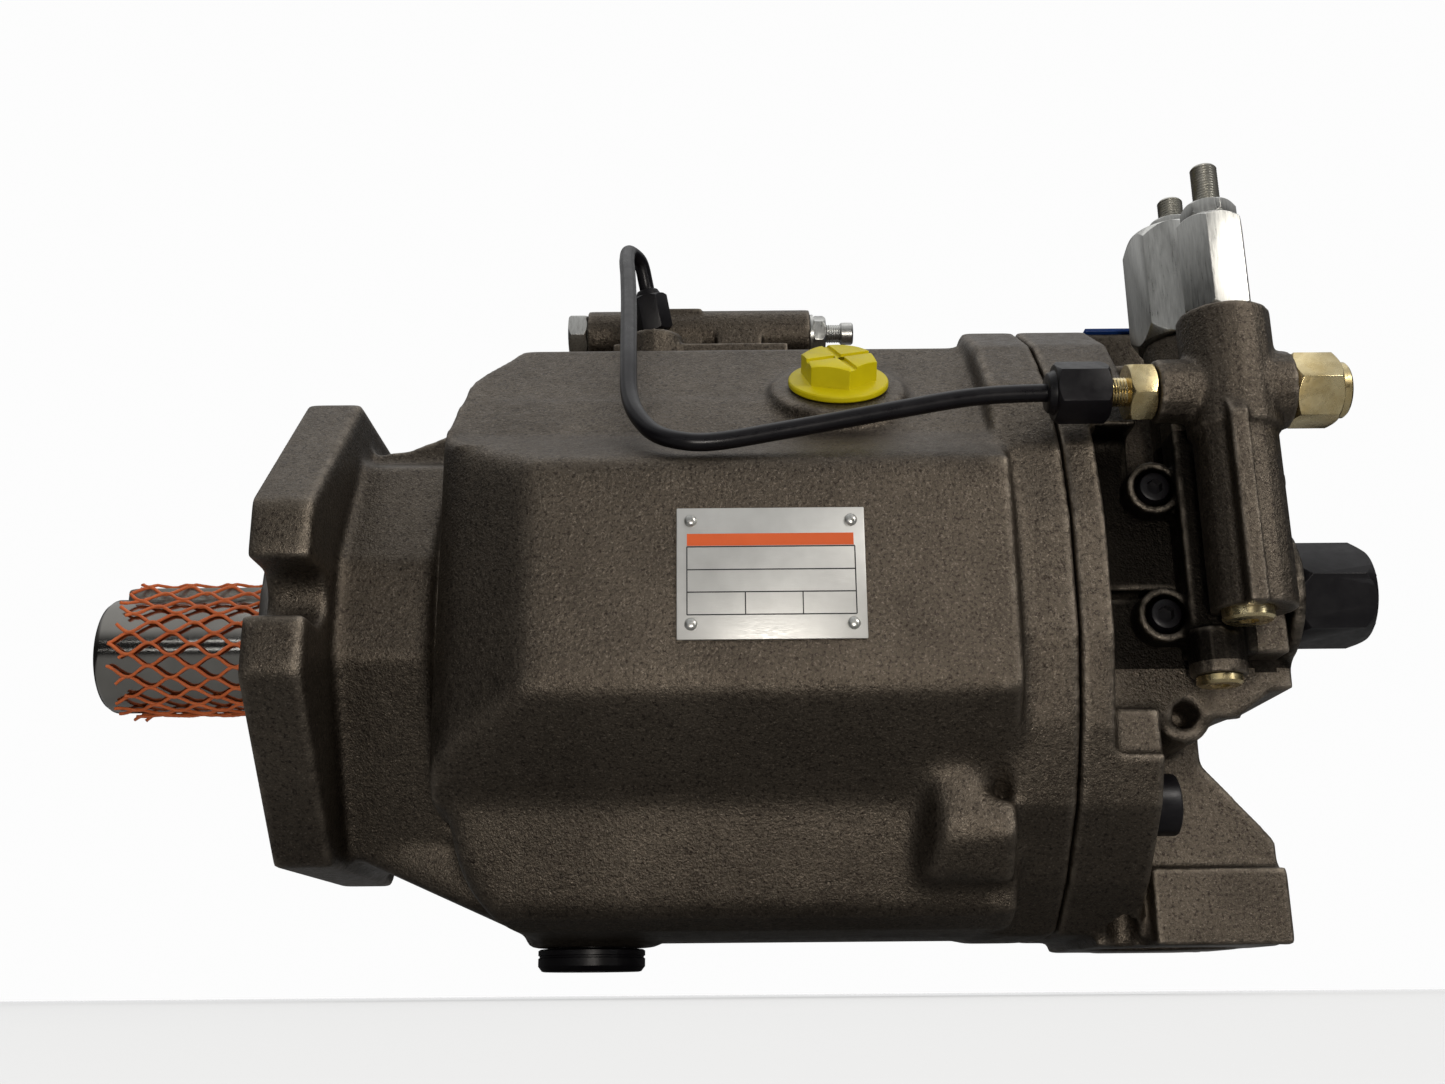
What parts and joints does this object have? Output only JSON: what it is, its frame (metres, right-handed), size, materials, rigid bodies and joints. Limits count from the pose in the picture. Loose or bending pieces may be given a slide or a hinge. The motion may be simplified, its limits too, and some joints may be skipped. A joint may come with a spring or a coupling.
{
  "type": "axial piston pump",
  "caption": "Variable swashplate axial piston pump with keyed shaft, two-bolt flange, port plate, control valves and pilot tube.",
  "frame": {"origin": "centre of the mounting face on the shaft axis", "axes": "+X along the shaft from its free end towards the port plate, +Z towards the pressure port, -Y towards the nameplate and control valve side"},
  "size_m": [0.463, 0.241, 0.2886],
  "materials": {
    "cast_iron": "rough dark grey-brown casting, machined where faces seal",
    "steel": "ground and turned steel",
    "black_steel": "black oxide, semi-matt",
    "zinc": "bright zinc plate",
    "brass": "turned brass",
    "bronze": "bearing bronze",
    "yellow_plastic": "moulded yellow plastic",
    "orange_plastic": "extruded orange net",
    "blue_plastic": "moulded blue plastic",
    "plate": "thin printed aluminium plate with an orange band and ruled lines, no lettering",
    "rubber": "black nitrile rubber"
  },
  "bodies": {
    "pump_body": {"housing": "cast_iron", "port_plate": "cast_iron", "shaft_seal": "rubber", "front_bearing": "steel", "valve_plate": "bronze", "case_bolt_1": "black_steel", "case_bolt_2": "black_steel", "case_bolt_3": "black_steel", "case_bolt_4": "black_steel", "drain_plug": "black_steel", "nameplate": "plate", "control_valve_body": "cast_iron", "valve_screw_upper": "black_steel", "valve_screw_lower": "black_steel", "pressure_spring_cap": "zinc", "flow_spring_cap": "zinc", "pressure_lock_nut": "zinc", "flow_lock_nut": "zinc", "brass_plug": "brass", "brass_fitting": "brass", "lower_plug_near": "brass", "lower_plug_far": "brass", "stop_screw_cap": "black_steel", "pilot_tube": "black_steel", "tube_nut_front": "black_steel", "tube_nut_rear": "black_steel", "power_valve_body": "cast_iron", "power_valve_plug": "zinc", "power_lock_nut": "zinc"},
    "rotating_group": {"drive_shaft": "steel", "shaft_key": "black_steel", "cylinder_block": "steel"},
    "swash": {"swashplate": "steel"},
    "retainer": {"retainer_plate": "steel"},
    "slipper_body_1": {"slipper_1": "bronze"},
    "piston_body_1": {"piston_1": "steel"},
    "slipper_body_2": {"slipper_2": "bronze"},
    "piston_body_2": {"piston_2": "steel"},
    "slipper_body_3": {"slipper_3": "bronze"},
    "piston_body_3": {"piston_3": "steel"},
    "slipper_body_4": {"slipper_4": "bronze"},
    "piston_body_4": {"piston_4": "steel"},
    "slipper_body_5": {"slipper_5": "bronze"},
    "piston_body_5": {"piston_5": "steel"},
    "slipper_body_6": {"slipper_6": "bronze"},
    "piston_body_6": {"piston_6": "steel"},
    "slipper_body_7": {"slipper_7": "bronze"},
    "piston_body_7": {"piston_7": "steel"},
    "slipper_body_8": {"slipper_8": "bronze"},
    "piston_body_8": {"piston_8": "steel"},
    "slipper_body_9": {"slipper_9": "bronze"},
    "piston_body_9": {"piston_9": "steel"},
    "stroking_piston_body": {"stroking_piston": "steel"},
    "bias_piston_body": {"bias_piston": "steel"},
    "pressure_screw_body": {"pressure_adjust_screw": "steel"},
    "flow_screw_body": {"flow_adjust_screw": "steel"},
    "power_screw_body": {"power_adjust_screw": "zinc"},
    "sleeve_body": {"net_sleeve": "orange_plastic"},
    "port_cover_body": {"pressure_port_cover": "blue_plastic"},
    "drain_cap_body": {"drain_port_cap": "yellow_plastic"}
  },
  "joints": [
    {"name": "shaft_spin", "type": "hinge", "parent": "pump_body", "child": "rotating_group", "pos_m": [0, 0, 0], "axis": [1, 0, 0], "continuous": true},
    {"name": "swash_tilt", "type": "hinge", "parent": "pump_body", "child": "swash", "pos_m": [0.15, 0, 0], "axis": [0, 0, 1], "range_deg": [-18, 0], "stiffness_Nm_per_rad": 4, "springref_deg": 6.88},
    {"name": "retainer_spin", "type": "hinge", "parent": "swash", "child": "retainer", "pos_m": [0.15, 0, 0], "axis": [0.9511, 0.309, 0], "continuous": true},
    {"name": "slipper_turn_1", "type": "hinge", "parent": "retainer", "child": "slipper_body_1", "pos_m": [0.13606, 0.04289, 0], "axis": [0.9511, 0.309, 0], "continuous": true},
    {"name": "ball_tilt_1", "type": "hinge", "parent": "slipper_body_1", "child": "piston_body_1", "pos_m": [0.13606, 0.04289, 0], "axis": [0, 0, 1], "range_deg": [-0.5, 18.5]},
    {"name": "slipper_turn_2", "type": "hinge", "parent": "retainer", "child": "slipper_body_2", "pos_m": [0.13932, 0.03286, 0.02899], "axis": [0.9511, 0.309, 0], "continuous": true},
    {"name": "ball_tilt_2", "type": "hinge", "parent": "slipper_body_2", "child": "piston_body_2", "pos_m": [0.13932, 0.03286, 0.02899], "axis": [0, 0, 1], "range_deg": [-0.5, 18.5]},
    {"name": "slipper_turn_3", "type": "hinge", "parent": "retainer", "child": "slipper_body_3", "pos_m": [0.14758, 0.00745, 0.04442], "axis": [0.9511, 0.309, 0], "continuous": true},
    {"name": "ball_tilt_3", "type": "hinge", "parent": "slipper_body_3", "child": "piston_body_3", "pos_m": [0.14758, 0.00745, 0.04442], "axis": [0, 0, 1], "range_deg": [-0.5, 18.5]},
    {"name": "slipper_turn_4", "type": "hinge", "parent": "retainer", "child": "slipper_body_4", "pos_m": [0.15697, -0.02145, 0.03906], "axis": [0.9511, 0.309, 0], "continuous": true},
    {"name": "ball_tilt_4", "type": "hinge", "parent": "slipper_body_4", "child": "piston_body_4", "pos_m": [0.15697, -0.02145, 0.03906], "axis": [0, 0, 1], "range_deg": [-0.5, 18.5]},
    {"name": "slipper_turn_5", "type": "hinge", "parent": "retainer", "child": "slipper_body_5", "pos_m": [0.1631, -0.04031, 0.01542], "axis": [0.9511, 0.309, 0], "continuous": true},
    {"name": "ball_tilt_5", "type": "hinge", "parent": "slipper_body_5", "child": "piston_body_5", "pos_m": [0.1631, -0.04031, 0.01542], "axis": [0, 0, 1], "range_deg": [-0.5, 18.5]},
    {"name": "slipper_turn_6", "type": "hinge", "parent": "retainer", "child": "slipper_body_6", "pos_m": [0.1631, -0.04031, -0.01542], "axis": [0.9511, 0.309, 0], "continuous": true},
    {"name": "ball_tilt_6", "type": "hinge", "parent": "slipper_body_6", "child": "piston_body_6", "pos_m": [0.1631, -0.04031, -0.01542], "axis": [0, 0, 1], "range_deg": [-0.5, 18.5]},
    {"name": "slipper_turn_7", "type": "hinge", "parent": "retainer", "child": "slipper_body_7", "pos_m": [0.15697, -0.02145, -0.03906], "axis": [0.9511, 0.309, 0], "continuous": true},
    {"name": "ball_tilt_7", "type": "hinge", "parent": "slipper_body_7", "child": "piston_body_7", "pos_m": [0.15697, -0.02145, -0.03906], "axis": [0, 0, 1], "range_deg": [-0.5, 18.5]},
    {"name": "slipper_turn_8", "type": "hinge", "parent": "retainer", "child": "slipper_body_8", "pos_m": [0.14758, 0.00745, -0.04442], "axis": [0.9511, 0.309, 0], "continuous": true},
    {"name": "ball_tilt_8", "type": "hinge", "parent": "slipper_body_8", "child": "piston_body_8", "pos_m": [0.14758, 0.00745, -0.04442], "axis": [0, 0, 1], "range_deg": [-0.5, 18.5]},
    {"name": "slipper_turn_9", "type": "hinge", "parent": "retainer", "child": "slipper_body_9", "pos_m": [0.13932, 0.03286, -0.02899], "axis": [0.9511, 0.309, 0], "continuous": true},
    {"name": "ball_tilt_9", "type": "hinge", "parent": "slipper_body_9", "child": "piston_body_9", "pos_m": [0.13932, 0.03286, -0.02899], "axis": [0, 0, 1], "range_deg": [-0.5, 18.5]},
    {"name": "stroking_slide", "type": "slide", "parent": "pump_body", "child": "stroking_piston_body", "axis": [1, 0, 0], "range_m": [-0.0265, 0.0003]},
    {"name": "bias_slide", "type": "slide", "parent": "pump_body", "child": "bias_piston_body", "axis": [1, 0, 0], "range_m": [-0.0003, 0.0263]},
    {"name": "pressure_adjust", "type": "slide", "parent": "pump_body", "child": "pressure_screw_body", "axis": [0, 0, 1], "range_m": [-0.003, 0.003]},
    {"name": "flow_adjust", "type": "slide", "parent": "pump_body", "child": "flow_screw_body", "axis": [0, 0, 1], "range_m": [-0.003, 0.003]},
    {"name": "power_adjust", "type": "slide", "parent": "pump_body", "child": "power_screw_body", "axis": [1, 0, 0], "range_m": [-0.003, 0.003]},
    {"name": "sleeve_pull", "type": "slide", "parent": "rotating_group", "child": "sleeve_body", "axis": [-1, 0, 0], "range_m": [0, 0.09]},
    {"name": "cover_lift", "type": "slide", "parent": "pump_body", "child": "port_cover_body", "axis": [0, 0, 1], "range_m": [0, 0.05]},
    {"name": "drain_cap_pull", "type": "slide", "parent": "pump_body", "child": "drain_cap_body", "axis": [0, -0.6884, 0.7254], "range_m": [0, 0.03]}
  ],
  "couplings": [
    {"joint": "retainer_spin", "follows": "shaft_spin", "ratio": 1},
    {"joint": "slipper_turn_1", "follows": "shaft_spin", "ratio": -1},
    {"joint": "ball_tilt_1", "follows": "swash_tilt", "ratio": -1},
    {"joint": "slipper_turn_2", "follows": "shaft_spin", "ratio": -1},
    {"joint": "ball_tilt_2", "follows": "swash_tilt", "ratio": -1},
    {"joint": "slipper_turn_3", "follows": "shaft_spin", "ratio": -1},
    {"joint": "ball_tilt_3", "follows": "swash_tilt", "ratio": -1},
    {"joint": "slipper_turn_4", "follows": "shaft_spin", "ratio": -1},
    {"joint": "ball_tilt_4", "follows": "swash_tilt", "ratio": -1},
    {"joint": "slipper_turn_5", "follows": "shaft_spin", "ratio": -1},
    {"joint": "ball_tilt_5", "follows": "swash_tilt", "ratio": -1},
    {"joint": "slipper_turn_6", "follows": "shaft_spin", "ratio": -1},
    {"joint": "ball_tilt_6", "follows": "swash_tilt", "ratio": -1},
    {"joint": "slipper_turn_7", "follows": "shaft_spin", "ratio": -1},
    {"joint": "ball_tilt_7", "follows": "swash_tilt", "ratio": -1},
    {"joint": "slipper_turn_8", "follows": "shaft_spin", "ratio": -1},
    {"joint": "ball_tilt_8", "follows": "swash_tilt", "ratio": -1},
    {"joint": "slipper_turn_9", "follows": "shaft_spin", "ratio": -1},
    {"joint": "ball_tilt_9", "follows": "swash_tilt", "ratio": -1},
    {"joint": "stroking_slide", "follows": "swash_tilt", "m_per_rad": 0.08313},
    {"joint": "bias_slide", "follows": "swash_tilt", "m_per_rad": -0.0823}
  ]
}
